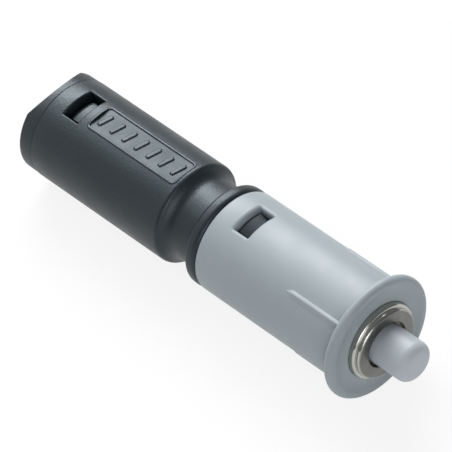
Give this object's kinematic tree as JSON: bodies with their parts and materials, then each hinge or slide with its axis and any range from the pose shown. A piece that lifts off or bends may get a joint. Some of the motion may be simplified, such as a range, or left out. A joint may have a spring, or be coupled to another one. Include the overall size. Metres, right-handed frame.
{
  "type": "push-to-open cabinet catch",
  "caption": "Drill-in push catch: sprung plunger in a flanged barrel that fits a hole in the edge of a cabinet panel.",
  "frame": {"origin": "on the barrel's axis, in the plane of the flange's rear face, where the panel's edge would be", "axes": "+Y along the barrel into the panel, so the plunger points to -Y; +Z through the middle of both windows and of the label panel; +X to the right seen from the front"},
  "size_m": [0.012, 0.0456, 0.012],
  "materials": {
    "sleeve_plastic": "satin moulded, light grey",
    "dark_plastic": "satin moulded, dark grey",
    "dark_rubber": "smooth",
    "nickel": "bright nickel plate",
    "plunger_plastic": "satin, light blue-grey",
    "white_plastic": "satin, natural white",
    "steel": "plain"
  },
  "bodies": {
    "housing": {"front_sleeve": "sleeve_plastic", "rear_body": "dark_plastic", "end_cap": "dark_plastic", "nose_ring": "nickel", "cartridge_tube": "steel", "nose_wiper": "dark_rubber", "guide_bush": "white_plastic", "key_washer": "steel", "thrust_washer": "steel", "snap_ring_front": "steel", "snap_ring_rear": "steel", "spring_rod": "steel", "tube_plug": "white_plastic", "plug_seal": "dark_rubber", "return_spring": "steel"},
    "plunger": {"plunger": "plunger_plastic", "plunger_pin": "steel", "buffer_ring": "dark_rubber", "latch_stem": "white_plastic", "spring_seat": "steel", "stem_clip": "steel"},
    "latch_ring": {"latch_ring": "white_plastic", "latch_pin_left": "steel", "latch_pin_right": "steel"}
  },
  "joints": [
    {"name": "plunger_slide", "type": "slide", "parent": "housing", "child": "plunger", "axis": [0, 1, 0], "range_m": [0, 0.0034], "stiffness_N_per_m": 600, "springref_m": -0.003, "deforming": ["return_spring"]},
    {"name": "latch_ring_turn", "type": "hinge", "parent": "housing", "child": "latch_ring", "pos_m": [0, 0.0164, 0], "axis": [0, 1, 0], "range_deg": [0, 45.1]}
  ],
  "couplings": [
    {"joint": "latch_ring_turn", "follows": "plunger_slide", "rad_per_m": 231}
  ]
}
